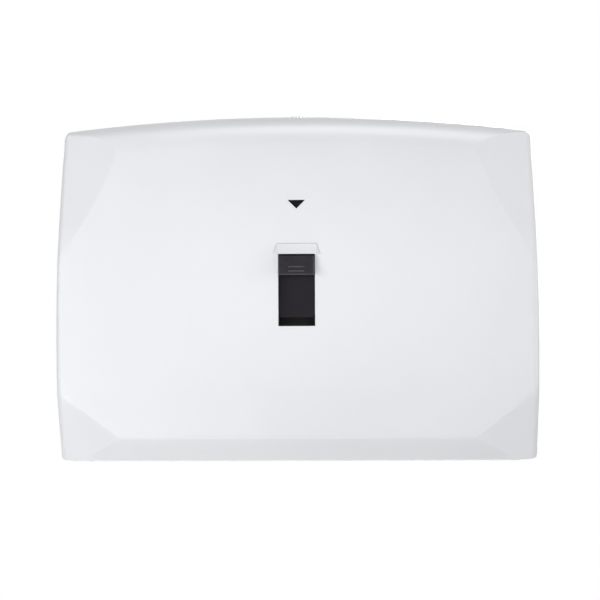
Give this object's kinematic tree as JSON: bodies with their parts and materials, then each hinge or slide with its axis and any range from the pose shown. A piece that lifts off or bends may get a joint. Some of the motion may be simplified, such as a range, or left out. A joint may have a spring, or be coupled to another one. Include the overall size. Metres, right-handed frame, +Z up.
{
  "type": "toilet seat cover dispenser",
  "caption": "Wall-mounted dispenser for folded paper seat covers: crowned cover with corner facets, a press-and-slide lever, a top lock, a hinged opening and a sprung flap.",
  "frame": {"origin": "middle of the wall screw holes, on the wall plane", "axes": "+X to the right as seen from the front, +Y into the wall, +Z up"},
  "size_m": [0.4412, 0.0888, 0.3171],
  "materials": {
    "white_cover": "satin",
    "white_plate": "matte",
    "black_lever": "satin",
    "black_track": "matte",
    "pad_rubber": "matte",
    "lock_metal": "polished",
    "steel": "satin"
  },
  "bodies": {
    "wall_unit": {"back_plate": "white_plate", "hinge_pin_left": "steel", "hinge_pin_right": "steel", "lock_strike": "steel", "strike_screws": "steel", "flap_rod": "steel", "rod_clips": "steel", "flap_spring_left": "steel", "flap_spring_right": "steel"},
    "cover": {"front_cover": "white_cover", "lock_barrel": "lock_metal", "lock_nut": "steel", "slide_track": "black_track", "track_screws": "steel", "return_spring_left": "steel", "return_spring_right": "steel"},
    "lock": {"lock_plug": "lock_metal", "lock_cam": "steel", "cam_screw": "steel"},
    "slide": {"slide_carriage": "black_lever", "press_spring_left": "steel", "press_spring_right": "steel"},
    "button": {"lever_button": "black_lever", "foot_block": "black_track", "feed_pad": "pad_rubber", "foot_screw": "steel"},
    "flap": {"pressure_flap": "white_plate"}
  },
  "joints": [
    {"name": "cover_hinge", "type": "hinge", "parent": "wall_unit", "child": "cover", "pos_m": [0, -0.01, -0.142], "axis": [1, 0, 0], "range_deg": [0, 88]},
    {"name": "lock_turn", "type": "hinge", "parent": "cover", "child": "lock", "pos_m": [0, -0.026, 0.15], "axis": [0, 0, 1], "range_deg": [-90, 0]},
    {"name": "lever_slide", "type": "slide", "parent": "cover", "child": "slide", "axis": [0, 0, -1], "range_m": [0, 0.046], "stiffness_N_per_m": 250, "springref_m": -0.015, "deforming": ["return_spring_left", "return_spring_right"]},
    {"name": "button_press", "type": "slide", "parent": "slide", "child": "button", "axis": [0, 1, 0], "range_m": [0, 0.008], "stiffness_N_per_m": 400, "springref_m": -0.005, "deforming": ["press_spring_left", "press_spring_right"]},
    {"name": "flap_swing", "type": "hinge", "parent": "wall_unit", "child": "flap", "pos_m": [0, -0.009, 0.13], "axis": [1, 0, 0], "range_deg": [0, 7], "stiffness_Nm_per_rad": 0.5, "springref_deg": -20.05, "deforming": ["flap_spring_left", "flap_spring_right"]}
  ]
}
